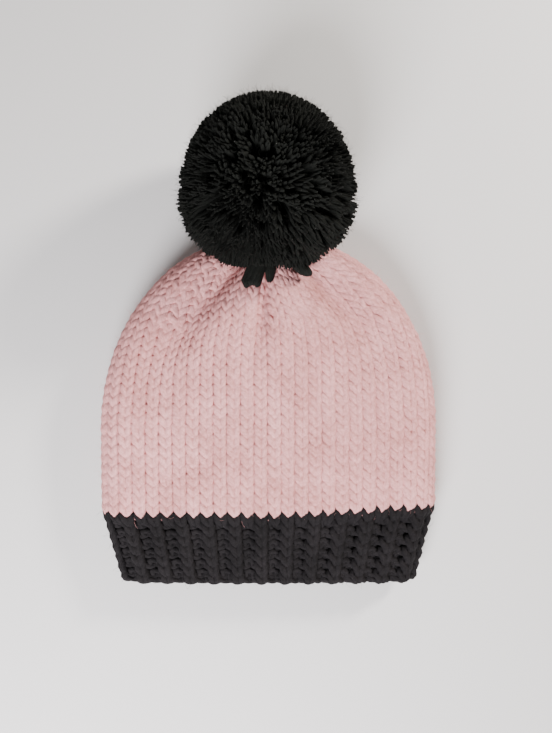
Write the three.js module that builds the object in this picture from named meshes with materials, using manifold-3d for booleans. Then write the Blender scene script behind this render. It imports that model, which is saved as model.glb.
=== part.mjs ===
// A chunky knitted bobble hat, lying flat on its back layer: a stockinette body that is drawn up at the
// crown, a ribbed band round the mouth, and a yarn pompom tied on through the drawn-up top.
// Millimetres. +X is to the right, +Y runs from the mouth to the pompom and +Z is up. The hat rests on Z = 0,
// and the origin is under the middle of the whole hat.
import * as THREE from "three";
import { mergeVertices } from "three/addons/utils/BufferGeometryUtils.js";
import Module from "manifold-3d";

const wasm = await Module();
wasm.setup();

// Driving dimensions of the knitted tube as it lies
const HALF_WIDTH = 95; // half the width of the body between its side folds
const MOUTH_HALF_WIDTH = 84; // half the width of the band at its cast-on edge
const BAND_HEIGHT = 39;
const BODY_HEIGHT = 46; // the straight stockinette above the band
const CROWN_HEIGHT = 107; // from where the sides begin to draw in to the drawn-up top
const FOLD_RADIUS = 14; // how far in from a side fold the two layers are rounded
const PUFF_HEIGHT = 34; // height of the top layer where the crown stands highest
const BODY_WALL = 5.5; // thickness of the stockinette
const BAND_WALL = 5; // thickness of the ribbing from a rib to the furrow behind it
const DOME = 0.1; // share by which the top layer sinks from its middle to the side folds
const SIDE_RISE = 4; // how much higher the right side of the band's top edge lies than the left

// The ribbing and the drawn-up top
const RIBS = 27; // one knit and one purl column each
const RIB_DEPTH = 2.2;
const LIP_ROUND = 1.7; // rounding of the cast-on edge
const TOP_HALF_WIDTH = 11; // half the width of the drawn-up stitches at the tip
const TOP_THICKNESS = 11; // bunched yarn between the hollow and the tip
const PLEATS = 10;
const PLEAT_DEPTH = 2.4;
const VALLEY_DEPTH = 3.2;

// The pompom and the yarn that ties it on
const POMPOM_RADIUS = 44;
const POMPOM_SQUASH = 3; // how much of its round the floor flattens
const POMPOM_ASIDE = 1.5; // how far left of the crown's middle it lies
const DIMPLE = 8; // how deep the tip of the crown presses into it
const LOCKS = 62;
const LOCK_RADIUS = 8.4; // at the foot of a lock
const LOCK_DEPTH = 8; // how far the locks stand out of the head
const TIE_RADIUS = 2.2;
const KNOT_RADIUS = 5;
const BINDING_RADIUS = 6; // the turns of tie round the middle of the pompom

// Clearances
const JOIN_GAP = 0.3; // between the band and the body
const SEAT_GAP = 0.4; // round the tie, and between the pompom and the crown

// Heights of the lying hat. at: share of the length from the mouth to the tip. top, fold and under: heights
// of the top layer, the side folds and the underside there, as shares of the puff height.
const HEIGHTS = [
  { at: 0, top: 0.68, fold: 0.31, under: 0 },
  { at: 0.12, top: 0.71, fold: 0.32, under: 0 },
  { at: 0.24, top: 0.75, fold: 0.33, under: 0 },
  { at: 0.42, top: 0.83, fold: 0.35, under: 0 },
  { at: 0.6, top: 0.92, fold: 0.37, under: 0 },
  { at: 0.75, top: 1, fold: 0.4, under: 0 },
  { at: 0.86, top: 0.97, fold: 0.44, under: 0 },
  { at: 0.93, top: 0.89, fold: 0.48, under: 0.07 },
  { at: 1, top: 0.78, fold: 0.53, under: 0.27 },
];

// The soft valleys that the decreases draw in the crown's top layer. round: place round the hat, counted
// from the right fold over the top. spread: half the valley's width, as a share of the way round. from:
// share of the crown at which it starts. depth: share of the valley depth.
const VALLEYS = [
  { round: 0.115, spread: 0.034, from: 0.17, depth: 0.8 },
  { round: 0.252, spread: 0.022, from: 0.22, depth: 0.7 },
  { round: 0.382, spread: 0.036, from: 0.13, depth: 1 },
];

// Longer strands of the pompom that hang over the crown. round: the column of the crown that a strand lies
// along. end: share of the crown's height at which it ends. thick: its radius, as a share of the pompom's.
const STRANDS = [
  { round: 0.285, end: 0.7, thick: 0.115 },
  { round: 0.234, end: 0.71, thick: 0.055 },
  { round: 0.166, end: 0.74, thick: 0.1 },
  { round: 0.112, end: 0.8, thick: 0.065 },
];

const CROWN_START = BAND_HEIGHT + BODY_HEIGHT;
const LENGTH = CROWN_START + CROWN_HEIGHT;
const BODY_COLUMNS = 6 * PLEATS;
const BAND_COLUMNS = 4 * RIBS;

const lerp = THREE.MathUtils.lerp;
const smooth = (x) => THREE.MathUtils.smoothstep(x, 0, 1);

// Evenly spaced values from one to another, both included
function steps(from, to, count) {
  return Array.from({ length: count + 1 }, (_, i) => lerp(from, to, i / count));
}

// The section of the flattened tube, walked by its length: two flat layers joined by rounded folds.
// Gives the place across (-1 to 1) and up (-1 to 1) at a share of the way round from the right fold.
function section(round) {
  const flat = HALF_WIDTH - FOLD_RADIUS;
  const arc = (Math.PI / 2) * FOLD_RADIUS;
  const fromFold = Math.min(round % 0.5, 0.5 - (round % 0.5)) * 4 * (flat + arc);
  const angle = Math.min(fromFold, arc) / FOLD_RADIUS;
  const inward = Math.max(0, fromFold - arc);
  const across = (flat + FOLD_RADIUS * Math.cos(angle) - inward) / HALF_WIDTH;
  const onRight = round < 0.25 || round > 0.75;
  return { across: onRight ? across : -across, up: (round < 0.5 ? 1 : -1) * Math.sin(angle) };
}

// A column of the heights table at a share of the length, on a smooth curve through its rows
function heightOf(column, share) {
  const last = HEIGHTS.length - 1;
  const next = Math.max(1, HEIGHTS.findIndex((row) => row.at >= Math.min(share, 1)));
  const [a, b] = [HEIGHTS[next - 1], HEIGHTS[next]];
  const slopeAt = (i) => {
    const [before, after] = [HEIGHTS[Math.max(0, i - 1)], HEIGHTS[Math.min(last, i + 1)]];
    return (after[column] - before[column]) / (after.at - before.at);
  };
  const span = b.at - a.at;
  const t = (share - a.at) / span;
  const bend = slopeAt(next - 1) * t * (1 - t) ** 2 - slopeAt(next) * t * t * (1 - t);
  return PUFF_HEIGHT * (lerp(a[column], b[column], smooth(t)) + bend * span);
}

// How far the valleys and pleats of the crown draw its surface in
function drawnIn(round, crown) {
  const pleat = 0.5 - 0.5 * Math.cos(2 * Math.PI * PLEATS * round);
  let depth = PLEAT_DEPTH * pleat * smooth((crown - 0.5) / 0.5) ** 2;
  for (const valley of VALLEYS) {
    const off = (round - valley.round) / valley.spread;
    const reach = smooth((crown - valley.from) / 0.48) * (1 - 0.6 * smooth((crown - 0.75) / 0.25));
    depth += VALLEY_DEPTH * valley.depth * Math.exp(-off * off) * reach;
  }
  return depth;
}

// A point of the hat at a share of the way round and a distance along from the mouth, inset from the
// outer face of the yarn
function hatPoint(round, along, inset) {
  const { across, up } = section(round);
  const crown = Math.max(0, (along - CROWN_START) / CROWN_HEIGHT);
  const turn = (crown * Math.PI) / 2;
  const straight = lerp(MOUTH_HALF_WIDTH, HALF_WIDTH, Math.min(1, along / BAND_HEIGHT));
  const half = lerp(TOP_HALF_WIDTH, straight, Math.cos(turn));
  const share = along / LENGTH;
  const sunk = inset + drawnIn(round, crown);
  const fold = heightOf("fold", share);
  const top = heightOf("top", share) * (1 - DOME * across * across) - sunk;
  const under = Math.max(0, heightOf("under", share)) + sunk;
  const climb = lerp(crown, Math.sin(turn), Math.abs(across) ** 2.5);
  const lie = SIDE_RISE * smooth(across) * smooth(along / BAND_HEIGHT) * (1 - crown);
  const y = Math.min(along, CROWN_START) + (CROWN_HEIGHT - inset) * climb + lie;
  return new THREE.Vector3((half - sunk) * across, y, lerp(fold, up > 0 ? top : under, Math.abs(up)));
}

// A ring of points round the hat, with one inset or an inset for each place round
function ring(columns, along, insetAt) {
  return steps(0, 1, columns).slice(0, -1).map((round) => hatPoint(round, along, insetAt(round)));
}

// A closed mesh through rings of equal length, joined end to start or capped at both ends
function loft(rings, joined) {
  const columns = rings[0].length;
  const points = rings.flat();
  const faces = [];
  const strip = (a, b) => {
    for (let i = 0; i < columns; i++) {
      const j = (i + 1) % columns;
      faces.push(a + i, b + j, a + j, a + i, b + i, b + j);
    }
  };
  const cap = (first, facing) => {
    const edge = points.slice(first, first + columns);
    const sum = edge.reduce((total, point) => total.add(point), new THREE.Vector3());
    const hub = points.push(sum.divideScalar(columns)) - 1;
    for (let i = 0; i < columns; i++) {
      const j = (i + 1) % columns;
      faces.push(...(facing > 0 ? [first + j, first + i, hub] : [first + i, first + j, hub]));
    }
  };
  const lastRing = (rings.length - 1) * columns;
  for (let first = 0; first < lastRing; first += columns) strip(first, first + columns);
  if (joined) {
    strip(lastRing, 0);
  } else {
    cap(0, -1);
    cap(lastRing, 1);
  }
  return new THREE.BufferGeometry().setFromPoints(points).setIndex(faces);
}

// A solid for joining and cutting, without the doubled points and empty faces at seams and poles
function toSolid(geometry) {
  const bare = geometry.clone();
  bare.deleteAttribute("normal");
  bare.deleteAttribute("uv");
  const merged = mergeVertices(bare, 1e-4);
  const index = merged.index.array;
  const faces = [];
  for (let i = 0; i < index.length; i += 3) {
    const [a, b, c] = index.slice(i, i + 3);
    if (a !== b && b !== c && c !== a) faces.push(a, b, c);
  }
  const vertProperties = new Float32Array(merged.attributes.position.array);
  return new wasm.Manifold(new wasm.Mesh({ numProp: 3, vertProperties, triVerts: new Uint32Array(faces) }));
}

function toGeometry(solid) {
  const mesh = solid.getMesh();
  const geometry = new THREE.BufferGeometry();
  geometry.setAttribute("position", new THREE.BufferAttribute(new Float32Array(mesh.vertProperties), 3));
  geometry.setIndex(new THREE.BufferAttribute(new Uint32Array(mesh.triVerts), 1));
  return geometry;
}

// Turns a shape that stands along Y to stand along a direction from a place
function stood(geometry, place, direction) {
  const turn = new THREE.Quaternion().setFromUnitVectors(new THREE.Vector3(0, 1, 0), direction);
  return geometry.applyQuaternion(turn).translate(place.x, place.y, place.z);
}

function ball(place, radius, detail) {
  return toSolid(new THREE.IcosahedronGeometry(radius, detail).translate(place.x, place.y, place.z));
}

// Round-ended lengths of yarn laid from point to point
function yarnThrough(points, radius) {
  const lengths = points.slice(1).map((point, i) => {
    const way = point.clone().sub(points[i]);
    const middle = point.clone().lerp(points[i], 0.5);
    const length = new THREE.CapsuleGeometry(radius, way.length(), 2, 7);
    return toSolid(stood(length, middle, way.normalize()));
  });
  return wasm.Manifold.union(lengths);
}

// Ribbed band: knit columns stand out and purl columns sink in, on both faces of one wall
function makeBand() {
  const rib = (round) => RIB_DEPTH * (0.5 - 0.5 * Math.cos(2 * Math.PI * RIBS * round));
  const at = (along, inset) => ring(BAND_COLUMNS, along, (round) => rib(round) + inset);
  const rises = steps(LIP_ROUND * 1.6, BAND_HEIGHT - JOIN_GAP / 2, 3);
  const nearLip = LIP_ROUND * 0.35;
  return loft(
    [
      at(0, LIP_ROUND),
      at(nearLip, nearLip),
      ...rises.map((along) => at(along, 0)),
      ...rises.reverse().map((along) => at(along, BAND_WALL)),
      at(nearLip, BAND_WALL - nearLip),
      at(0, BAND_WALL - LIP_ROUND),
    ],
    true,
  );
}

// Rings of the body and crown between two distances from the mouth, at one inset
function bodyRings(from, to, straightSteps, crownSteps, inset) {
  const straight = steps(from, CROWN_START, straightSteps);
  const crown = steps(CROWN_START, to, crownSteps).slice(1);
  return [...straight, ...crown].map((along) => ring(BODY_COLUMNS, along, () => inset));
}

// Knitted body and crown in one wall, hollow up to the bunched top, with a hole for the tie
function makeBody(tieRoom) {
  const start = BAND_HEIGHT + JOIN_GAP / 2;
  const inner = bodyRings(start, LENGTH - TOP_THICKNESS, 3, 9, BODY_WALL).reverse();
  const outer = bodyRings(start, LENGTH, 4, 13, 0);
  return toGeometry(toSolid(loft([...inner, ...outer], false)).subtract(tieRoom));
}

// Where the tie runs: from the knot inside the crown, through the tip, to the middle of the pompom
const tip = new THREE.Vector3(0, LENGTH, heightOf("fold", 1));
const hollowEnd = hatPoint(0.25, LENGTH - TOP_THICKNESS, BODY_WALL).y;
const knot = new THREE.Vector3(0, hollowEnd - KNOT_RADIUS - SEAT_GAP, tip.z);
const pompomHeight = POMPOM_RADIUS - POMPOM_SQUASH;
const pompomAway = Math.sqrt((POMPOM_RADIUS - DIMPLE) ** 2 - (pompomHeight - tip.z) ** 2 - POMPOM_ASIDE ** 2);
const pompomMiddle = new THREE.Vector3(-POMPOM_ASIDE, tip.y + pompomAway, pompomHeight);

// The tie, or the room that it needs when it is grown by a clearance
function tieSolid(grow) {
  const yarn = yarnThrough([knot, tip, pompomMiddle], TIE_RADIUS + grow);
  return yarn.add(ball(knot, KNOT_RADIUS + grow, 1)).add(ball(pompomMiddle, BINDING_RADIUS + grow, 1));
}

// One lock of cut yarn, standing out of the head with a blunt end
function lock(direction, reach, radius) {
  const foot = POMPOM_RADIUS - 1.3 * LOCK_DEPTH;
  const outline = [
    new THREE.Vector2(0, foot),
    new THREE.Vector2(radius, foot),
    new THREE.Vector2(radius * 0.6, reach - LOCK_DEPTH * 0.15),
    new THREE.Vector2(0, reach),
  ];
  return toSolid(stood(new THREE.LatheGeometry(outline, 5), pompomMiddle, direction));
}

// A longer strand that lies along a column of the crown, from inside the pompom to its cut end
function hangingStrand({ round, end, thick }) {
  const radius = thick * POMPOM_RADIUS;
  const places = steps(LENGTH, CROWN_START + end * CROWN_HEIGHT, 4);
  const points = places.map((along) => hatPoint(round, along, -radius - SEAT_GAP));
  points[0].lerp(pompomMiddle, 0.5);
  return yarnThrough(points, radius);
}

// Pompom: a head with locks all round and the hanging strands, pressed flat by the floor and by the crown
function makePompom(tieRoom) {
  THREE.MathUtils.seededRandom(LOCKS);
  const near = (size, spread) => size * (1 + spread * (2 * THREE.MathUtils.seededRandom() - 1));
  const goldenTurn = Math.PI * (3 - Math.sqrt(5));
  const locks = Array.from({ length: LOCKS }, (_, i) => {
    const up = 1 - (2 * (i + 0.5)) / LOCKS;
    const level = Math.sqrt(1 - up * up);
    const way = new THREE.Vector3(level * Math.cos(i * goldenTurn), level * Math.sin(i * goldenTurn), up);
    return lock(way, near(POMPOM_RADIUS, 0.025), near(LOCK_RADIUS, 0.08));
  });
  const head = ball(pompomMiddle, POMPOM_RADIUS - LOCK_DEPTH, 2);
  const whole = wasm.Manifold.union([head, ...locks, ...STRANDS.map(hangingStrand)]);
  const crownRoom = toSolid(loft(bodyRings(CROWN_START, LENGTH, 1, 13, -SEAT_GAP), false));
  return toGeometry(whole.trimByPlane([0, 0, 1], 0).subtract(crownRoom).subtract(tieRoom));
}

const pinkWool = new THREE.MeshStandardMaterial({ color: 0xdcbcbc, roughness: 0.95, metalness: 0 });
const blackWool = new THREE.MeshStandardMaterial({ color: 0x1c1b1c, roughness: 0.95, metalness: 0 });
const blackPompom = new THREE.MeshStandardMaterial({ color: 0x141614, roughness: 1, metalness: 0 });

function named(name, geometry, material) {
  const mesh = new THREE.Mesh(geometry, material);
  mesh.name = name;
  return mesh;
}

const tieRoom = tieSolid(SEAT_GAP);
const hat = new THREE.Group();
hat.add(
  named("ribbed_band", makeBand(), blackWool),
  named("knitted_body", makeBody(tieRoom), pinkWool),
  named("pompom", makePompom(tieRoom), blackPompom),
  named("pompom_tie", toGeometry(tieSolid(0)), blackWool),
);
const bounds = new THREE.Box3().setFromObject(hat);
const middle = bounds.getCenter(new THREE.Vector3());
hat.position.set(-middle.x, -middle.y, -bounds.min.z);

export default hat;
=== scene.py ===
import math

import bmesh
import bpy
import numpy as np
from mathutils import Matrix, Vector
from mathutils.bvhtree import BVHTree


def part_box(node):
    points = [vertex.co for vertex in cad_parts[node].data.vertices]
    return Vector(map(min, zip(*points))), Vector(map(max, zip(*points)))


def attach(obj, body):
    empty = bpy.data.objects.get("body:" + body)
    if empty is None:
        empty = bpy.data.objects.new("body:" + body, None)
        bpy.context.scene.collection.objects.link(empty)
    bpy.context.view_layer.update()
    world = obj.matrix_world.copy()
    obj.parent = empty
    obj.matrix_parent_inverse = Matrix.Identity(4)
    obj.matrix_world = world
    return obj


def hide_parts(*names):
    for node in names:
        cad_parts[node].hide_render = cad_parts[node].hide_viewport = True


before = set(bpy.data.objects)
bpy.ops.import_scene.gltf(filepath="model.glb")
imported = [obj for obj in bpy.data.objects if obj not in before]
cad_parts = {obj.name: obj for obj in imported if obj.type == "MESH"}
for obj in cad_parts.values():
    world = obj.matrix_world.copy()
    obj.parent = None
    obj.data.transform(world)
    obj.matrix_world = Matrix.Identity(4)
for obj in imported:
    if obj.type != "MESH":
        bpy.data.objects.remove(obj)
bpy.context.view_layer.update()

# A chunky knitted bobble hat, lying flat. The knitting is real yarn: one length of it runs round and round
# the hat in loops, row on row, and the pompom is cut strands. Metres, in the frame's own axes.

MM = 0.001
TURN = 2 * math.pi

# Sizes that the frame gives
body_low, body_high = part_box("knitted_body")
band_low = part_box("ribbed_band")[0]
JOIN_GAP = 0.3 * MM  # between the solids of the band and the body
MOUTH_Y = band_low.y
HALF_WIDTH = (body_high.x - body_low.x) / 2
BAND_HEIGHT = body_low.y - MOUTH_Y - JOIN_GAP / 2
LENGTH = body_high.y - MOUTH_Y

# The rest of the lying hat's form, as in the solids
MOUTH_HALF_WIDTH = 84 * MM
BODY_HEIGHT = 46 * MM
CROWN_START = BAND_HEIGHT + BODY_HEIGHT
CROWN_HEIGHT = LENGTH - CROWN_START
CROWN_CORNER = 2.5  # how near to the side folds the crown's rows stay level before they turn to the tip
WALL = 5.5 * MM
FOLD_RADIUS = 14 * MM
PUFF_HEIGHT = 34 * MM
DOME = 0.1
SIDE_RISE = 4 * MM
RIBS = 27
RIB_DEPTH = 2.2 * MM
TOP_HALF_WIDTH = 11 * MM
TOP_THICKNESS = 11 * MM
PLEATS = 10
PLEAT_DEPTH = 2.4 * MM
PLEATS_START = 0.5  # the share of the crown's height from which the pleats deepen
VALLEY_DEPTH = 3.2 * MM
VALLEY_RUN = 0.48  # the share of the crown's height over which a valley deepens
VALLEY_FADE = 0.6  # how much shallower the valleys are again at the tip
FADE_START = 0.75  # the share of the crown's height from which they are
POMPOM_RADIUS = 44 * MM
POMPOM_SQUASH = 3 * MM
POMPOM_ASIDE = 1.5 * MM
DIMPLE = 8 * MM

# Heights of the lying hat: place along it, then the top layer, the side folds and the underside there
HEIGHT_AT = np.array([0, 0.12, 0.24, 0.42, 0.6, 0.75, 0.86, 0.93, 1])
HEIGHTS = {
    "top": np.array([0.68, 0.71, 0.75, 0.83, 0.92, 1, 0.97, 0.89, 0.78]),
    "fold": np.array([0.31, 0.32, 0.33, 0.35, 0.37, 0.4, 0.44, 0.48, 0.53]),
    "under": np.array([0, 0, 0, 0, 0, 0, 0, 0.07, 0.27]),
}

# Valleys of the crown: place round the hat at the tip, half the width, where it starts, its share of the
# depth, and how far round the hat it runs on its way down from the tip
VALLEYS = (
    {"round": 0.115, "spread": 0.034, "start": 0.17, "depth": 0.8, "lean": -0.05},
    {"round": 0.252, "spread": 0.022, "start": 0.22, "depth": 0.7, "lean": 0.03},
    {"round": 0.382, "spread": 0.036, "start": 0.13, "depth": 1.0, "lean": 0.05},
)

# The knitting
STITCHES = 2 * RIBS
ROUND_START = 0.75  # where each round of knitting starts: the middle of the back layer
CLIMB_STITCHES = 2  # over which the yarn climbs to the next row there
BAND_ROWS = 7
RIBBED_ROWS = 6  # the band's last row is plain, as the body's are
BODY_ROWS = 36  # from the band to the tip along the outline; over the crown's middle the last ones gather
GORES = 6  # the crown's sections, each of which loses one stitch in a decrease round
DECREASE_ROUNDS = (20, 24, 27, 29, 31, 33, 34, 35)  # counted from the band
ROOM_LEFT = 0.25  # stitches that would still fit into a gore just after its decrease
ROOM_TAKEN = 0.6  # and how many of them the widening stitches take up until the next decrease
DRAWN_TOGETHER = 0.2  # how far two stitches that are knitted together draw to each other
ROW_HEIGHT = 5.46 * MM
STITCH_WIDTH = 6.9 * MM
YARN_RADIUS = 2.1 * MM
LOOP_HEIGHT = 9.6 * MM  # from the middle of the yarn at a loop's foot to its head
LOOP_SWING = 0.22  # how far the legs of a loop lean into a V, in stitch widths
LOOP_POINT = 0.035  # how much closer together the legs come at the foot of the V
LOOP_LEAN = 0.11  # how much further the left leg leans than the right one
LOOP_DEPTH = 0.8 * MM  # how far the legs stand in front of the middle of the wall
UNEVEN_LOOPS = 0.07  # how unevenly high they are
HEAD_THICKNESS = 0.86  # how thick the yarn is at a loop's head and foot, in yarn radii
LEG_SWELL = 0.18  # how much thicker it is in the legs
UNEVEN_YARN = 0.05  # and how unevenly thick it is from loop to loop
RIB_CROSSING = 0.8  # how much of its turn round a loop the yarn takes to pass from knit to purl, in radians
RIB_FADE = 1.5  # rows over which the ribs' hollows end below the body
VALLEY_SHARPER = 2.2  # how much deeper the yarn sinks in the crown's valleys than the plain solids do
VALLEY_NARROWER = 1.05  # and how much narrower they are there
GATHERING_START = 10  # the body's row from which the crown's knitting draws together
GATHERING_ROWS = 12  # and over how many rows it does
FOLD_CROWDING = 0.35  # how much closer together the crown's columns run at the side folds
CROWN_FLATTER = 0.5  # how much flatter the crown's loops lie
SPLIT_ROW = 14  # the row at which the body's knitting is parted into two pieces
LAST_ROW_AT = LENGTH - 1.5 * MM
YARN_FROM = 2 * MM  # the yarn keeps this far from the mouth's edge
YARN_TO = LENGTH - 1 * MM  # and stays this side of the tip
ROUND_PLACES = 721  # places round the hat at which the rows' heights are worked out
SAMPLES = 12  # points along the yarn for one stitch
FLOOR_GAP = 0.1 * MM  # how far above the floor the lowest ends lie

# The cast-on's two strands
EDGE_RADIUS = 1.5 * MM
EDGE_FROM_MOUTH = 2.2 * MM
EDGE_SWING = 1.2 * MM
EDGE_INSET = 3.3 * MM
EDGE_SAMPLES = 24  # points along a strand for one rib

# The pompom
CORE_RADIUS = 20 * MM
REACH = 45 * MM  # how far the cut ends stand from the pompom's middle
DRIFT = Vector((1.5, -1.2, 0)) * MM  # how far off the middle they lie, towards the crown and its right
SPLAY = 6.5 * MM  # how much further they spread over the crown's shoulders
FLATTENING = 2.5 * MM  # how much less far they reach on the side away from the crown
STRAND_RADIUS = 2.1 * MM
STRAND_LENGTH = REACH - CORE_RADIUS
PLIES = 4  # that a strand opens into at its end
FUZZ_AT = 0.93  # the share of the strands' length at which loose fibres stand out of them
TIE_RADIUS = 1.5 * MM

# The long strands over the crown: the column each lies along, where it ends in the crown, how far its end
# swings to the right, how thick the bundle is, how many yarns it has, and how pointed its end is
HANGING = (
    {"round": 0.278, "end": 0.691, "swing": -3.5 * MM, "radius": 4.5 * MM, "yarns": 8, "point": 0.05},
    {"round": 0.232, "end": 0.726, "swing": -2.5 * MM, "radius": 2.3 * MM, "yarns": 3, "point": 0.7},
    {"round": 0.168, "end": 0.739, "swing": 4 * MM, "radius": 3.3 * MM, "yarns": 5, "point": 0.05},
    {"round": 0.135, "end": 0.774, "swing": 2 * MM, "radius": 1.8 * MM, "yarns": 2, "point": 0.4},
    {"round": 0.102, "end": 0.804, "swing": 3 * MM, "radius": 1.6 * MM, "yarns": 2, "point": 0.4},
)


# Form of the lying hat

def smooth(x):
    """Rises smoothly from 0 to 1 as x does, and stays level before and after."""
    x = np.clip(x, 0, 1)
    return x * x * (3 - 2 * x)


def wave(angle):
    """Swings from 0 to 1 and back once in each turn."""
    return 0.5 - 0.5 * np.cos(angle)


def section(turn):
    """Place across (-1 to 1) and up (-1 to 1) at a share of the way round from the right fold."""
    turn = turn % 1
    flat = HALF_WIDTH - FOLD_RADIUS
    arc = math.pi / 2 * FOLD_RADIUS
    from_fold = np.minimum(turn % 0.5, 0.5 - turn % 0.5) * 4 * (flat + arc)
    angle = np.minimum(from_fold, arc) / FOLD_RADIUS
    inward = np.maximum(0, from_fold - arc)
    across = (flat + FOLD_RADIUS * np.cos(angle) - inward) / HALF_WIDTH
    on_right = (turn < 0.25) | (turn > 0.75)
    return np.where(on_right, across, -across), np.where(turn < 0.5, 1, -1) * np.sin(angle)


def height_of(column, share):
    """A height of the hat at a share of its length, on a smooth curve through the table's places."""
    values = HEIGHTS[column]
    share = np.clip(share, 0, 1)
    slopes = np.empty_like(values, dtype=float)
    slopes[1:-1] = (values[2:] - values[:-2]) / (HEIGHT_AT[2:] - HEIGHT_AT[:-2])
    slopes[0] = (values[1] - values[0]) / (HEIGHT_AT[1] - HEIGHT_AT[0])
    slopes[-1] = (values[-1] - values[-2]) / (HEIGHT_AT[-1] - HEIGHT_AT[-2])
    after = np.clip(np.searchsorted(HEIGHT_AT, share), 1, len(values) - 1)
    span = HEIGHT_AT[after] - HEIGHT_AT[after - 1]
    t = (share - HEIGHT_AT[after - 1]) / span
    bend = slopes[after - 1] * t * (1 - t) ** 2 - slopes[after] * t * t * (1 - t)
    level = values[after - 1] + (values[after] - values[after - 1]) * smooth(t)
    return PUFF_HEIGHT * (level + bend * span)


def drawn_in(turn, crown):
    """How far the crown's valleys and pleats draw its surface in."""
    pleated = smooth((crown - PLEATS_START) / (1 - PLEATS_START)) ** 2
    depth = PLEAT_DEPTH * wave(TURN * PLEATS * turn) * pleated
    for valley in VALLEYS:
        middle = valley["round"] + valley["lean"] * (1 - crown)
        off = VALLEY_NARROWER * (turn % 1 - middle) / valley["spread"]
        faded = VALLEY_FADE * smooth((crown - FADE_START) / (1 - FADE_START))
        reach = smooth((crown - valley["start"]) / VALLEY_RUN) * (1 - faded)
        depth = depth + VALLEY_SHARPER * VALLEY_DEPTH * valley["depth"] * np.exp(-off * off) * reach
    return depth


def hat_point(turn, along, inset):
    """Points of the hat at shares of the way round and distances from the mouth, inset from its outside."""
    turn, along, inset = np.broadcast_arrays(turn, along, inset)
    across, up = section(turn)
    crown = np.clip((along - CROWN_START) / CROWN_HEIGHT, 0, 1)
    straight = MOUTH_HALF_WIDTH + (HALF_WIDTH - MOUTH_HALF_WIDTH) * np.clip(along / BAND_HEIGHT, 0, 1)
    half = TOP_HALF_WIDTH + (straight - TOP_HALF_WIDTH) * np.cos(crown * math.pi / 2)
    share = along / LENGTH
    sunk = inset + drawn_in(turn, crown)
    fold = height_of("fold", share)
    top = height_of("top", share) * (1 - DOME * across ** 2) - sunk
    under = np.maximum(0, height_of("under", share)) + sunk
    climb = crown + (np.sin(crown * math.pi / 2) - crown) * np.abs(across) ** CROWN_CORNER
    lie = SIDE_RISE * smooth(across) * smooth(along / BAND_HEIGHT) * (1 - crown)
    y = np.minimum(along, CROWN_START) + (CROWN_HEIGHT - inset) * climb + lie
    z = fold + (np.where(up > 0, top, under) - fold) * np.abs(up)
    return np.stack([(half - sunk) * across, MOUTH_Y + y, z], axis=-1)


tip = Vector((0, MOUTH_Y + LENGTH, float(height_of("fold", 1))))
pompom_height = POMPOM_RADIUS - POMPOM_SQUASH
pompom_away = math.sqrt((POMPOM_RADIUS - DIMPLE) ** 2 - (pompom_height - tip.z) ** 2 - POMPOM_ASIDE ** 2)
pompom_middle = Vector((-POMPOM_ASIDE, tip.y + pompom_away, pompom_height))


# Building node trees

def node(tree, kind, inputs=None, **settings):
    """A new node with its settings, and its inputs linked or set by name or number."""
    made = tree.nodes.new(kind)
    for name, value in settings.items():
        setattr(made, name, value)
    for socket, value in (inputs or {}).items():
        if isinstance(value, bpy.types.NodeSocket):
            tree.links.new(value, made.inputs[socket])
        else:
            made.inputs[socket].default_value = value
    return made


def maths(tree, operation, first, second=0.0):
    return node(tree, "ShaderNodeMath", {0: first, 1: second}, operation=operation).outputs[0]


def vector_maths(tree, operation, first, second=(0, 0, 0)):
    return node(tree, "ShaderNodeVectorMath", {0: first, 1: second}, operation=operation).outputs[0]


def scaled(tree, vector, amount):
    return node(tree, "ShaderNodeVectorMath", {0: vector, "Scale": amount}, operation="SCALE").outputs[0]


def vector_of(tree, x=0.0, y=0.0, z=0.0):
    return node(tree, "ShaderNodeCombineXYZ", {0: x, 1: y, 2: z}).outputs[0]


def parts_of(tree, vector):
    return node(tree, "ShaderNodeSeparateXYZ", {0: vector}).outputs


def shape_tree(name, sizes):
    """An empty Geometry Nodes tree with a named input for each size and one for the finish."""
    tree = bpy.data.node_groups.new(name, "GeometryNodeTree")
    tree.interface.new_socket("Geometry", in_out="INPUT", socket_type="NodeSocketGeometry")
    for label, (kind, value) in sizes.items():
        socket = tree.interface.new_socket(label, in_out="INPUT", socket_type=kind)
        socket.default_value = value
    tree.interface.new_socket("Finish", in_out="INPUT", socket_type="NodeSocketMaterial")
    tree.interface.new_socket("Geometry", in_out="OUTPUT", socket_type="NodeSocketGeometry")
    return tree, tree.nodes.new("NodeGroupInput").outputs


def end_tree(tree, geometry, finish):
    """Smooth shading, real geometry and the finish, at the end of a tree."""
    real = node(tree, "GeometryNodeRealizeInstances", {"Geometry": geometry}).outputs[0]
    even = node(tree, "GeometryNodeSetShadeSmooth", {"Geometry": real}).outputs[0]
    painted = node(tree, "GeometryNodeSetMaterial", {"Geometry": even, "Material": finish}).outputs[0]
    node(tree, "NodeGroupOutput", {"Geometry": painted})


def stored(tree, geometry, name, value, kind):
    """The geometry with a value kept on it under a name."""
    made = node(tree, "GeometryNodeStoreNamedAttribute", {"Geometry": geometry, "Name": name},
                data_type=kind)
    tree.links.new(value, made.inputs["Value"])
    return made.outputs[0]


def read(tree, name, kind):
    """A value that the geometry keeps under a name."""
    return node(tree, "GeometryNodeInputNamedAttribute", {"Name": name}, data_type=kind).outputs[0]


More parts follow.
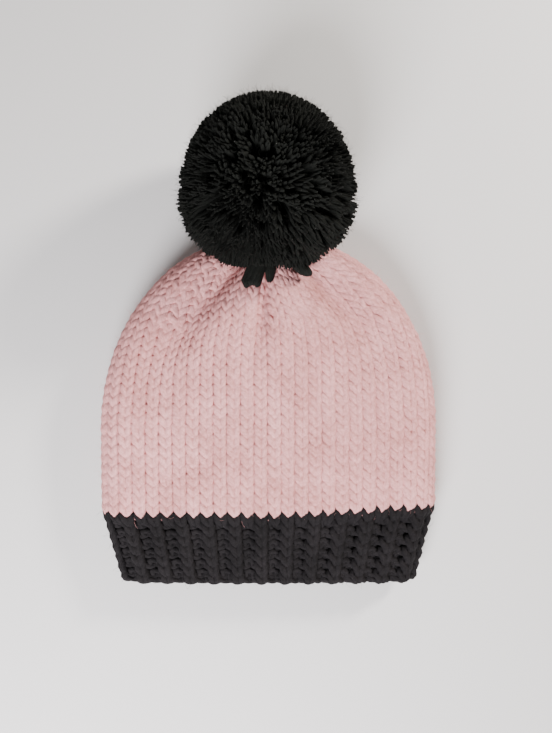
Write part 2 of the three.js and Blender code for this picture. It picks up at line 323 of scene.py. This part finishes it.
def spun(tree, path, sides, scale):
    """Yarn along a path. It keeps where each point lies on the yarn: round it, and along it."""
    length = node(tree, "GeometryNodeSplineParameter").outputs["Length"]
    measured = stored(tree, path, "yarn_length", length, "FLOAT")
    circle = node(tree, "GeometryNodeCurvePrimitiveCircle", {"Resolution": sides, "Radius": 1.0})
    place = node(tree, "GeometryNodeInputPosition").outputs[0]
    rim = stored(tree, circle.outputs["Curve"], "yarn_rim", place, "FLOAT_VECTOR")
    tube = node(tree, "GeometryNodeCurveToMesh",
                {"Curve": measured, "Profile Curve": rim, "Scale": scale, "Fill Caps": True}).outputs[0]
    around = parts_of(tree, read(tree, "yarn_rim", "FLOAT_VECTOR"))
    spot = vector_of(tree, around[0], around[1], read(tree, "yarn_length", "FLOAT"))
    return stored(tree, tube, "yarn_space", spot, "FLOAT_VECTOR")


def yarn_tree():
    """Yarn along the edges of a path, as thick as the path says."""
    tree, given = shape_tree("yarn_along_path", {"Sides": ("NodeSocketInt", 8)})
    path = node(tree, "GeometryNodeMeshToCurve", {"Mesh": given["Geometry"]}).outputs[0]
    yarn = spun(tree, path, given["Sides"], read(tree, "thickness", "FLOAT"))
    end_tree(tree, yarn, given["Finish"])
    return tree


def random_share(tree, least, seed):
    """A random share between the least one and the whole."""
    return node(tree, "FunctionNodeRandomValue", {2: least, 3: 1.0, "Seed": seed}).outputs[1]


def random_turn(tree, tilt, seed):
    """A random tilt of up to so much, and a random spin, as a rotation."""
    share = node(tree, "FunctionNodeRandomValue", {0: (-1, -1, -1), 1: (1, 1, 1), "Seed": seed},
                 data_type="FLOAT_VECTOR").outputs[0]
    angles = vector_maths(tree, "MULTIPLY", share, vector_of(tree, tilt, tilt, math.pi))
    return node(tree, "FunctionNodeEulerToRotation", {0: angles}).outputs[0]


def standing(tree, spread, shape, tilt, seed, size, chosen=True):
    """The shape on the chosen ones of the spread points, each tilted and turned a little at random."""
    turn = node(tree, "FunctionNodeRotateRotation",
                {0: spread["Rotation"], 1: random_turn(tree, tilt, seed)}, rotation_space="LOCAL").outputs[0]
    stood = node(tree, "GeometryNodeInstanceOnPoints",
                 {"Points": spread["Points"], "Instance": shape, "Selection": chosen, "Rotation": turn,
                  "Scale": size}).outputs[0]
    return node(tree, "GeometryNodeRealizeInstances", {"Geometry": stood}).outputs[0]


def stem_of_strand(tree, radius):
    """The round stem of a cut strand, a little thinner than its open end."""
    stem_share = 0.8
    line = node(tree, "GeometryNodeCurvePrimitiveLine",
                {"End": (0, 0, stem_share * STRAND_LENGTH)}).outputs[0]
    path = node(tree, "GeometryNodeResampleCurve", {"Curve": line, "Count": 3}).outputs[0]
    return spun(tree, path, 5, maths(tree, "MULTIPLY", radius, stem_share))


def ply_of_strand(tree, radius):
    """One ply of a strand's open end. It bows away from the stem and tapers over its last third."""
    thick, thin = 0.62, 0.18  # in strand radii
    taper_start = 0.66
    bow_points = ((0.1, 0.5), (0.5, 0.8), (0.95, 1))  # out in strand radii, and up in strand lengths
    start, middle, end = [
        vector_of(tree, maths(tree, "MULTIPLY", radius, out), 0.0, up * STRAND_LENGTH)
        for out, up in bow_points
    ]
    bow = node(tree, "GeometryNodeCurveQuadraticBezier",
               {"Resolution": 3, "Start": start, "Middle": middle, "End": end}).outputs[0]
    share = node(tree, "GeometryNodeSplineParameter").outputs["Factor"]
    taper = node(tree, "ShaderNodeMapRange",
                 {"Value": share, "From Min": taper_start, "To Min": thick, "To Max": thin}).outputs[0]
    return spun(tree, bow, 4, maths(tree, "MULTIPLY", radius, taper))


def cut_strand(tree, radius):
    """One cut strand: a stem, and the plies of its end, which spread as they open."""
    ring_radius = 0.05 * MM
    stem = stem_of_strand(tree, radius)
    ply = ply_of_strand(tree, radius)
    ring = node(tree, "GeometryNodeMeshCircle", {"Vertices": PLIES, "Radius": ring_radius}).outputs[0]
    place = node(tree, "GeometryNodeInputIndex").outputs[0]
    spin = vector_of(tree, z=maths(tree, "MULTIPLY", place, TURN / PLIES))
    aim = node(tree, "FunctionNodeEulerToRotation", {0: spin}).outputs[0]
    plies = node(tree, "GeometryNodeInstanceOnPoints",
                 {"Points": ring, "Instance": ply, "Rotation": aim}).outputs[0]
    joined = node(tree, "GeometryNodeJoinGeometry")
    tree.links.new(stem, joined.inputs[0])
    tree.links.new(plies, joined.inputs[0])
    return joined.outputs[0]


def pompom_tree():
    """Cut strands standing on a core, each as long as the core's reach there, bent a little aside."""
    tree, given = shape_tree("pompom_strands", {
        "Spacing": ("NodeSocketFloat", 1.25 * MM),
        "Most for 1 m2": ("NodeSocketFloat", 6.0e5),
        "Strand Radius": ("NodeSocketFloat", STRAND_RADIUS),
        "Shortest": ("NodeSocketFloat", 4 * MM),
        "Tilt": ("NodeSocketFloat", 0.16),
        "Bend": ("NodeSocketFloat", 5 * MM),
        "Seed": ("NodeSocketInt", 4),
    })
    spread = node(tree, "GeometryNodeDistributePointsOnFaces",
                  {"Mesh": given["Geometry"], "Distance Min": given["Spacing"],
                   "Density Max": given["Most for 1 m2"], "Seed": given["Seed"]},
                  distribute_method="POISSON").outputs
    vary = random_share(tree, 0.95, given["Seed"])
    reach = maths(tree, "MULTIPLY", read(tree, "reach", "FLOAT"), vary)
    size = vector_of(tree, 1.0, 1.0, maths(tree, "DIVIDE", reach, STRAND_LENGTH))
    long_enough = node(tree, "FunctionNodeCompare", {0: reach, 1: given["Shortest"]},
                       operation="GREATER_THAN").outputs[0]
    strand = cut_strand(tree, given["Strand Radius"])
    stood = standing(tree, spread, strand, given["Tilt"], given["Seed"], size, long_enough)
    bent = bent_aside(tree, stood, given["Bend"])
    end_tree(tree, above_floor(tree, bent), given["Finish"])
    return tree


def bent_aside(tree, geometry, bend):
    """Bends the strands' outer parts aside, neighbours much alike, so that they gather in tufts. Each place
    keeps its distance from the pompom's middle, as trimming leaves it."""
    place = node(tree, "GeometryNodeInputPosition").outputs[0]
    middle = tuple(pompom_middle)
    arm = vector_maths(tree, "SUBTRACT", place, middle)
    away = node(tree, "ShaderNodeVectorMath", {0: arm}, operation="LENGTH").outputs["Value"]
    share = maths(tree, "DIVIDE", away, REACH)
    amount = maths(tree, "MULTIPLY", maths(tree, "MULTIPLY", share, share), bend)
    drift = node(tree, "ShaderNodeTexNoise",
                 {"Vector": place, "Scale": 110.0, "Detail": 1.0}).outputs["Color"]
    centred = vector_maths(tree, "SUBTRACT", drift, (0.5, 0.5, 0.5))
    swung = vector_maths(tree, "ADD", arm, scaled(tree, centred, amount))
    arm_again = scaled(tree, vector_maths(tree, "NORMALIZE", swung), away)
    end = vector_maths(tree, "ADD", arm_again, middle)
    return node(tree, "GeometryNodeSetPosition", {"Geometry": geometry, "Position": end}).outputs[0]


def above_floor(tree, geometry):
    """Lays on the floor what would reach below it."""
    parts = parts_of(tree, node(tree, "GeometryNodeInputPosition").outputs[0])
    lifted = vector_of(tree, parts[0], parts[1], maths(tree, "MAXIMUM", parts[2], FLOOR_GAP))
    return node(tree, "GeometryNodeSetPosition", {"Geometry": geometry, "Position": lifted}).outputs[0]


def loose_fibre(tree):
    """One loose fibre, bowed to the side and thinner at its end. Its sizes are shares of its length."""
    root, bend, end = (0, 0, -0.02), (0.05, 0, 0.7), (0.6, 0, 0.9)
    thick, thin = 0.013, 0.005
    arc = node(tree, "GeometryNodeCurveQuadraticBezier",
               {"Resolution": 2, "Start": root, "Middle": bend, "End": end}).outputs[0]
    share = node(tree, "GeometryNodeSplineParameter").outputs["Factor"]
    width = node(tree, "ShaderNodeMapRange", {"Value": share, "To Min": thick, "To Max": thin}).outputs[0]
    circle = node(tree, "GeometryNodeCurvePrimitiveCircle", {"Resolution": 3, "Radius": 1.0}).outputs[0]
    return node(tree, "GeometryNodeCurveToMesh",
                {"Curve": arc, "Profile Curve": circle, "Scale": width, "Fill Caps": True}).outputs[0]


def fuzz_tree():
    """Fine loose fibres that stand out of the yarn's surface."""
    tree, given = shape_tree("loose_fibres", {
        "Fibres for 1 m2": ("NodeSocketFloat", 18000.0),
        "Fibre Length": ("NodeSocketFloat", 5 * MM),
        "Tilt": ("NodeSocketFloat", 0.9),
        "Seed": ("NodeSocketInt", 9),
    })
    spread = node(tree, "GeometryNodeDistributePointsOnFaces",
                  {"Mesh": given["Geometry"], "Density": given["Fibres for 1 m2"],
                   "Seed": given["Seed"]}).outputs
    size = maths(tree, "MULTIPLY", random_share(tree, 0.35, given["Seed"]), given["Fibre Length"])
    stood = standing(tree, spread, loose_fibre(tree), given["Tilt"], given["Seed"], size)
    end_tree(tree, above_floor(tree, stood), given["Finish"])
    return tree


def made_by(tree, name, mesh, body="root", **sizes):
    """The plain mesh that a tree makes of a mesh, as a piece that rides on a body."""
    source = bpy.data.objects.new("source", mesh)
    bpy.context.scene.collection.objects.link(source)
    modifier = source.modifiers.new("made", "NODES")
    modifier.node_group = tree
    sockets = {item.name: item.identifier for item in tree.interface.items_tree if item.in_out == "INPUT"}
    for label, value in sizes.items():
        modifier[sockets[label.replace("_", " ")]] = value
    depsgraph = bpy.context.evaluated_depsgraph_get()
    result = bpy.data.meshes.new_from_object(source.evaluated_get(depsgraph), depsgraph=depsgraph)
    bpy.data.objects.remove(source)
    result.name = name
    piece = bpy.data.objects.new(name, result)
    bpy.context.scene.collection.objects.link(piece)
    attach(piece, body)
    return piece


# Paths of yarn

def path_mesh(paths):
    """A mesh of edges along paths, each a pair of points and thicknesses (yarn radius at each point)."""
    mesh = bpy.data.meshes.new("path")
    points = np.concatenate([p for p, _ in paths])
    edges = []
    first = 0
    for path, _ in paths:
        edges += [(i, i + 1) for i in range(first, first + len(path) - 1)]
        first += len(path)
    mesh.from_pydata(points.tolist(), edges, [])
    thickness = mesh.attributes.new("thickness", "FLOAT", "POINT")
    thickness.data.foreach_set("value", np.concatenate([t for _, t in paths]).astype(np.float32))
    return mesh


def even_path(points, radius):
    """A path with its yarn's radius, which is the same all along."""
    return points, np.full(len(points), radius)


def midway(places):
    """The borders between neighbours round the hat, from before the first to after the last."""
    before = np.concatenate([[places[-1] - 1], places])
    after = np.concatenate([places, [places[0] + 1]])
    return (before + after) / 2


def gore_places(count, crowding):
    """Middles of the stitches of a round, in equal gores. Crowding is how many would fill a gore."""
    gores = np.arange(GORES)[:, None]
    stitches = np.arange(count)[None, :]
    return (gores + (stitches + 0.5) / crowding) / GORES


def knitting_rows():
    """Each row of the band and body: where its loops' feet and heads are round the hat."""
    full = STITCHES // GORES
    plain = gore_places(full, full)
    rows = [{"feet": plain, "heads": plain} for _ in range(BAND_ROWS)]
    heads = plain
    for row in range(BODY_ROWS):
        lost = sum(row >= turn for turn in DECREASE_ROUNDS)
        last = max([0, *[turn for turn in DECREASE_ROUNDS if turn <= row]])
        following = min([BODY_ROWS, *[turn for turn in DECREASE_ROUNDS if turn > row]])
        progress = (row - last) / (following - last)
        count = max(1, full - lost)
        crowding = count + (ROOM_LEFT - ROOM_TAKEN * progress if lost else 0)
        feet = heads
        if heads.shape[1] > count:
            together = heads[:, count - 1:].mean(axis=1, keepdims=True)
            feet = np.concatenate([heads[:, :count - 1], together], axis=1)
            heads[:, count - 1:] += DRAWN_TOGETHER * (together - heads[:, count - 1:])
        heads = gore_places(count, crowding)
        rows.append({"feet": feet, "heads": heads})
    return rows


def stretch_at(turn, along):
    """How much longer the hat's surface is there than its middle, along a column of stitches."""
    least, most = 0.8, 2
    step = 1 * MM
    ahead = hat_point(turn, along + step, YARN_RADIUS)
    behind = hat_point(turn, along - step, YARN_RADIUS)
    return np.clip(np.linalg.norm(ahead - behind, axis=-1) / (2 * step), least, most)


def swell(turn, along, width):
    """How much plumper the yarn is where stitches of a width (a share of the round) are spread out."""
    narrowest, widest = 0.85, 1.5  # in plain stitches' widths
    fullness = 0.6  # how fully the yarn fills out with the width
    step = 0.002
    ahead = hat_point(turn + step, along, YARN_RADIUS)
    behind = hat_point(turn - step, along, YARN_RADIUS)
    spread = np.linalg.norm(ahead - behind, axis=-1) / (2 * step) * width
    return np.clip(spread / STITCH_WIDTH, narrowest, widest) ** fullness


def row_places():
    """Distances of each row's middle from the mouth at places all the way round, a row's height apart."""
    height = BAND_HEIGHT / BAND_ROWS
    rows = [np.full(ROUND_PLACES, (row + 0.5) * height) for row in range(BAND_ROWS)]
    turns = np.linspace(0, 1, ROUND_PLACES)
    along = np.full(ROUND_PLACES, BAND_HEIGHT + ROW_HEIGHT / 2)
    for _ in range(BODY_ROWS + 1):
        rows.append(along)
        along = np.minimum(along + ROW_HEIGHT / stretch_at(turns, along), LAST_ROW_AT)
    return rows


def loop_turns(feet, heads, t, rise):
    """Where the points of a row's loops are round the hat, between the borders of their feet and heads."""
    share = t / TURN + LOOP_SWING * np.sin(2 * t) - LOOP_LEAN * np.cos(t)
    share = share + LOOP_POINT * np.sin(t) * (1 + np.cos(t))
    low = feet[:-1, None] + share * np.diff(feet)[:, None]
    high = heads[:-1, None] + share * np.diff(heads)[:, None]
    return ROUND_START + low + (high - low) * rise


def row_middle(turn, t, places, following):
    """How far the row's middle is from the mouth at each point. At its end it climbs to the next row."""
    count = len(turn)
    stitch = np.arange(count)[:, None]
    turns = np.linspace(0, 1, ROUND_PLACES)
    here = np.interp(turn % 1, turns, places)
    climb = smooth((stitch + t / TURN - (count - CLIMB_STITCHES)) / CLIMB_STITCHES)
    return here + (np.interp(turn % 1, turns, following) - here) * climb


def loop_front(t, count, ribbed):
    """How far each point stands in front of the loop's middle, from -1 to 1. A purl loop is turned round."""
    front = -np.cos(2 * t) * np.ones((count, SAMPLES))
    if ribbed:
        stitch = np.arange(count)[:, None]
        purl = (stitch + int(ROUND_START * STITCHES + 0.5)) % 2
        crossing = smooth(t / RIB_CROSSING) * smooth((TURN - t) / RIB_CROSSING)
        front = np.where(purl == 1, -front, front) * crossing
    return front


def row_path(row, places, following, number, random):
    """The yarn of one row: round the hat in loops whose legs stand in front of their heads and feet."""
    feet, heads = midway(row["feet"].ravel()), midway(row["heads"].ravel())
    count = len(feet) - 1
    t = TURN * (np.arange(SAMPLES) / SAMPLES)[None, :]
    rise = wave(t)
    turn = loop_turns(feet, heads, t, rise)
    gathering = smooth((number + rise - BAND_ROWS - GATHERING_START) / GATHERING_ROWS)
    crowding = FOLD_CROWDING * gathering
    crowded = 1 - crowding * np.cos(2 * TURN * turn)
    turn = turn - crowding * np.sin(2 * TURN * turn) / (2 * TURN)
    here = row_middle(turn, t, places, following)
    uneven = 1 + UNEVEN_LOOPS * random.standard_normal((count, 1))
    along = here - LOOP_HEIGHT / 2 * np.cos(t) * uneven / stretch_at(turn, here)
    depth = LOOP_DEPTH * (1 - CROWN_FLATTER * gathering)
    inset = depth + YARN_RADIUS - depth * loop_front(t, count, number < RIBBED_ROWS)
    if number < BAND_ROWS:
        fade = smooth((BAND_HEIGHT - along) / (RIB_FADE * ROW_HEIGHT))
        inset = inset + RIB_DEPTH * wave(TURN * RIBS * turn) * fade
    along = np.clip(along, YARN_FROM, YARN_TO)
    plump = HEAD_THICKNESS + LEG_SWELL * np.sin(t) ** 2
    plump = plump * (1 + UNEVEN_YARN * random.standard_normal((count, 1)))
    width = np.diff(feet)[:, None] + (np.diff(heads) - np.diff(feet))[:, None] * rise
    radius = YARN_RADIUS * (plump * swell(turn, here, width * crowded))
    points = hat_point(turn, along, inset)
    points[..., 2] = np.maximum(points[..., 2], radius)
    return points.reshape(-1, 3), radius.ravel()


def knitted(first, last):
    """The yarn of several rows as one path, each row climbing to the next at the back."""
    random = np.random.default_rng(100 + first)
    rows, places = knitting_rows(), row_places()
    paths = [row_path(rows[i], places[i], places[i + 1], i, random) for i in range(first, last)]
    return path_mesh([(np.concatenate([p for p, _ in paths]), np.concatenate([t for _, t in paths]))])


def cast_on_edge():
    """The cast-on: two strands laid round each other along the edge of the mouth."""
    turn = np.linspace(0, 1, RIBS * EDGE_SAMPLES)
    paths = []
    for phase in (0, math.pi):
        angle = TURN * RIBS * turn + phase
        along = EDGE_FROM_MOUTH + EDGE_SWING * np.cos(angle)
        rib = RIB_DEPTH * wave(TURN * RIBS * turn)
        points = hat_point(turn, along, EDGE_INSET + rib + EDGE_RADIUS * np.sin(angle))
        paths.append(even_path(points, EDGE_RADIUS))
    return path_mesh(paths)


def gathered_top():
    """The end of the yarn, drawn round the tip in narrowing turns to close it."""
    turns = 4
    half_width = 8.5 * MM
    half_height = 6 * MM
    depth = 4 * MM
    climb = 2 * MM
    narrowing = 0.85
    share = np.linspace(0, 1, 30 * turns)
    angle = TURN * turns * share
    size = 1 - narrowing * share
    points = np.stack([
        half_width * size * np.cos(angle),
        tip.y - depth + climb * share,
        tip.z + half_height * size * np.sin(angle),
    ], axis=-1)
    return path_mesh([even_path(points, 2 * MM)])


def through(places, count):
    """Points spaced evenly in the places' numbering along a smooth curve through them."""
    places = np.array([tuple(p) for p in places], float)
    ends = np.concatenate([[2 * places[0] - places[1]], places, [2 * places[-1] - places[-2]]])
    where = np.linspace(0, len(places) - 1, count)
    i = np.minimum(where.astype(int), len(places) - 2)
    t = (where - i)[:, None]
    a, b, c, d = ends[i], ends[i + 1], ends[i + 2], ends[i + 3]
    squared = (2 * a - 5 * b + 4 * c - d) * t ** 2
    return 0.5 * (2 * b + (c - a) * t + squared + (3 * b - a - 3 * c + d) * t ** 3)


def hanging_strands():
    """Longer yarns of the pompom that lie over the crown, in loosely turned bundles."""
    twist = 1.6  # radians from the pompom to the end
    flatness = 0.7
    uneven_end = 2.2  # mm
    steps, count = 5, 30
    tail_start = 0.75
    round_start, round_length = 0.72, 0.29  # of the tail, and just past its end, so that no end is a point
    random = np.random.default_rng(21)
    tail = np.clip((np.linspace(0, 1, count) - tail_start) / (1 - tail_start), 0, 1)
    rounded = np.sqrt(1 - np.clip((tail - round_start) / round_length, 0, 1) ** 2)
    paths = []
    for bundle in HANGING:
        along = np.linspace(LENGTH, CROWN_START + bundle["end"] * CROWN_HEIGHT, steps)
        middle = hat_point(bundle["round"], along, -bundle["radius"])
        middle[:, 0] += bundle["swing"] * np.linspace(0, 1, steps) ** 2
        middle[0] = (middle[0] + np.array(pompom_middle)) / 2
        for yarn in range(bundle["yarns"]):
            angle = TURN * yarn / bundle["yarns"] + np.linspace(0, twist, steps)
            spread = (bundle["radius"] - 0.45 * STRAND_RADIUS) * random.uniform(0.7, 1)
            places = middle.copy()
            places[:, 0] += spread * np.cos(angle)
            places[:, 2] += spread * np.sin(angle) * flatness
            places[-1, 1] += random.uniform(0, uneven_end) * MM
            paths.append((through(places, count), STRAND_RADIUS * (1 - bundle["point"] * tail) * rounded))
    return path_mesh(paths)


def tie_yarn():
    """The tie: wound into a knot inside the crown, through the tip, and bound round the pompom's middle."""
    turns = 3
    coil_radius = 3.2 * MM
    coil_narrowing = 1.4 * MM
    knot_width = 5 * MM
    knot_depth = 5.4 * MM  # from the end of the hollow to the knot's middle
    binding_width = 6 * MM
    hollow_end = float(hat_point(0.25, LENGTH - TOP_THICKNESS, WALL)[1])
    knot = Vector((0, hollow_end - knot_depth, tip.z))
    coil = np.linspace(0, 1, 20 * turns)
    wound = [
        np.stack([
            centre.x + (coil_radius - coil_narrowing * coil) * np.cos(TURN * turns * coil),
            centre.y + width * (coil - 0.5),
            centre.z + (coil_radius - coil_narrowing * coil) * np.sin(TURN * turns * coil),
        ], axis=-1)
        for centre, width in ((knot, knot_width), (pompom_middle, binding_width))
    ]
    way = through([knot, tip, pompom_middle], 20)
    return path_mesh([even_path(points, TIE_RADIUS) for points in (*wound, way)])


def strand_reach(way, wall):
    """How far strands reach from the pompom's core in a direction, before the floor or the crown."""
    towards_shoulder = 2 * abs(way.x) * max(0, -way.y)
    reach = REACH + DRIFT.dot(way) - FLATTENING * max(0, way.y) + SPLAY * towards_shoulder
    if way.z < 0:
        reach = min(reach, pompom_middle.z / -way.z)
    reach = min(reach, wall.ray_cast(pompom_middle, way, reach)[3] or reach)
    return max(0, reach - CORE_RADIUS)


def pompom_round(share):
    """A closed round form at a share of the way from the pompom's core to its cut ends. It keeps how far the
    strands reach from the core at each place."""
    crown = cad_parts["knitted_body"].data
    wall = BVHTree.FromPolygons([v.co for v in crown.vertices], [p.vertices for p in crown.polygons])
    ball = bmesh.new()
    bmesh.ops.create_icosphere(ball, subdivisions=5, radius=1)
    reaches = []
    for vertex in ball.verts:
        way = vertex.co.normalized()
        reaches.append(strand_reach(way, wall))
        vertex.co = pompom_middle + way * (CORE_RADIUS + share * reaches[-1])
    mesh = bpy.data.meshes.new("round")
    ball.to_mesh(mesh)
    ball.free()
    mesh.attributes.new("reach", "FLOAT", "POINT").data.foreach_set("value", reaches)
    return mesh


# Finishes

def noise(tree, space, scale, detail, roughness=0.5):
    return node(tree, "ShaderNodeTexNoise",
                {"Vector": space, "Scale": scale, "Detail": detail, "Roughness": roughness}).outputs["Fac"]


def mixed(tree, *parts):
    """The sum of several values, each times its share."""
    total = 0.0
    for value, share in parts:
        total = maths(tree, "ADD", total, maths(tree, "MULTIPLY", value, share))
    return total


def wool(name, dark, light, sheen, bump):
    """Spun wool: fibres that wind along the yarn, soft plies, and slow changes of shade."""
    twist = 260.0  # radians for 1 m of yarn
    plies = 3.0
    material = bpy.data.materials.new(name)
    material.use_nodes = True
    tree = material.node_tree
    shader = tree.nodes["Principled BSDF"]
    shader.inputs["Roughness"].default_value = 0.9
    shader.inputs["Specular IOR Level"].default_value = 0.15
    shader.inputs["Sheen Weight"].default_value = sheen
    shader.inputs["Sheen Roughness"].default_value = 0.55
    shader.inputs["Sheen Tint"].default_value = (*light, 1)
    spot = node(tree, "ShaderNodeAttribute", attribute_name="yarn_space").outputs["Vector"]
    turned = maths(tree, "MULTIPLY", parts_of(tree, spot)[2], twist)
    wound = node(tree, "ShaderNodeVectorRotate", {"Vector": spot, "Angle": turned},
                 rotation_type="Z_AXIS").outputs[0]
    fibre_space = node(tree, "ShaderNodeMapping", {"Vector": wound, "Scale": (1, 1, 130)}).outputs[0]
    fibres = noise(tree, fibre_space, scale=5.0, detail=5.0, roughness=0.7)
    around = parts_of(tree, wound)
    angle = maths(tree, "ARCTAN2", around[1], around[0])
    ply = maths(tree, "SINE", maths(tree, "MULTIPLY", angle, plies))
    place = node(tree, "ShaderNodeTexCoord").outputs["Object"]
    patches = noise(tree, place, scale=55.0, detail=2.0)
    speckle = noise(tree, place, scale=700.0, detail=4.0)
    shade = mixed(tree, (fibres, 0.45), (patches, 0.25), (speckle, 0.3))
    ramp = node(tree, "ShaderNodeValToRGB", {"Fac": shade})
    for element, position, colour in zip(ramp.color_ramp.elements, (0.34, 0.62), (dark, light)):
        element.position = position
        element.color = (*colour, 1)
    tree.links.new(ramp.outputs["Color"], shader.inputs["Base Color"])
    relief = mixed(tree, (fibres, 0.8), (ply, 0.16), (speckle, 0.35))
    raised = node(tree, "ShaderNodeBump",
                  {"Height": relief, "Strength": bump, "Distance": 0.6 * MM}).outputs[0]
    tree.links.new(raised, shader.inputs["Normal"])
    return material


pink_wool = wool("dusty_pink_wool", (0.38, 0.15, 0.135), (0.75, 0.38, 0.375), sheen=0.25, bump=0.9)
black_wool = wool("black_wool", (0.002, 0.0018, 0.002), (0.013, 0.011, 0.012), sheen=0.1, bump=0.7)
pompom_wool = wool("black_pompom_wool", (0.002, 0.0024, 0.0018), (0.010, 0.011, 0.009),
                   sheen=0.05, bump=0.7)


# The hat

def piece(tree, name, mesh, finish, slot, replaced=(), **sizes):
    """A piece of the hat, made by a tree, in its finish and in place of the solids that it replaces."""
    made = made_by(tree, name, mesh, Finish=finish, **sizes)
    if replaced:
        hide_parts(*replaced)
    return made


def make_hat():
    yarn, fuzz, strands = yarn_tree(), fuzz_tree(), pompom_tree()
    split, last = BAND_ROWS + SPLIT_ROW, BAND_ROWS + BODY_ROWS
    band = piece(yarn, "band_ribbing", knitted(0, BAND_ROWS), black_wool, "black_yarn", ["ribbed_band"])
    piece(yarn, "cast_on_edge", cast_on_edge(), black_wool, "black_yarn")
    body = piece(yarn, "body_stitches", knitted(BAND_ROWS, split), pink_wool, "pink_yarn", ["knitted_body"])
    crown = piece(yarn, "crown_stitches", knitted(split, last), pink_wool, "pink_yarn")
    piece(yarn, "gathered_top", gathered_top(), pink_wool, "pink_yarn")
    piece(strands, "pompom_strands", pompom_round(0), pompom_wool, "pompom_yarn", ["pompom"])
    piece(yarn, "hanging_strands", hanging_strands(), pompom_wool, "pompom_yarn")
    piece(yarn, "tie_yarn", tie_yarn(), black_wool, "black_yarn", ["pompom_tie"])
    piece(fuzz, "body_fuzz", body.data.copy(), pink_wool, "pink_yarn")
    piece(fuzz, "crown_fuzz", crown.data.copy(), pink_wool, "pink_yarn")
    piece(fuzz, "band_fuzz", band.data.copy(), black_wool, "black_yarn", Fibres_for_1_m2=32000.0)
    piece(fuzz, "pompom_fuzz", pompom_round(FUZZ_AT), pompom_wool, "pompom_yarn",
          Fibres_for_1_m2=240000.0)


# Floor, light and camera

def make_stage():
    drop = 0.2 * MM  # so that no yarn lies in the floor's own plane
    bpy.ops.mesh.primitive_plane_add(size=6, location=(0, 0, -drop))
    floor = bpy.context.object
    floor.name = "floor"
    paint = bpy.data.materials.new("pale_floor")
    paint.use_nodes = True
    shader = paint.node_tree.nodes["Principled BSDF"]
    shader.inputs["Base Color"].default_value = (0.62, 0.61, 0.60, 1)
    shader.inputs["Roughness"].default_value = 0.85
    floor.data.materials.append(paint)


def area_light(name, place, size, power, colour):
    """A round light that points at the hat."""
    light = bpy.data.objects.new(name, bpy.data.lights.new(name, "AREA"))
    light.data.shape = "DISK"
    light.data.size = size
    light.data.energy = power
    light.data.color = colour
    light.location = place
    light.rotation_euler = (-Vector(place)).to_track_quat("-Z", "Y").to_euler()
    bpy.context.scene.collection.objects.link(light)


def make_lights():
    area_light("soft_key", place=(0.6, 0.4, 0.38), size=0.15, power=12.5, colour=(1.0, 0.95, 0.9))
    area_light("soft_fill", place=(-0.2, -0.52, 0.48), size=0.4, power=15.0, colour=(0.99, 0.97, 1.0))
    world = bpy.data.worlds.new("soft_sky")
    world.use_nodes = True
    sky = world.node_tree.nodes["Background"]
    sky.inputs["Color"].default_value = (1.0, 0.98, 0.97, 1)
    sky.inputs["Strength"].default_value = 0.3
    bpy.context.scene.world = world


def make_camera():
    """Straight above the hat, where the photograph was taken."""
    sensor = 36
    view_angle = math.radians(60)
    aside = 4.3 * MM
    from_mouth = 120.6 * MM
    height = 372 * MM
    camera = bpy.data.objects.new("camera", bpy.data.cameras.new("camera"))
    camera.data.sensor_width = sensor
    camera.data.lens = sensor / 2 / math.tan(view_angle / 2)
    camera.location = (aside, MOUTH_Y + from_mouth, height)
    bpy.context.scene.collection.objects.link(camera)
    bpy.context.scene.camera = camera


make_camera()
make_hat()
make_stage()
make_lights()
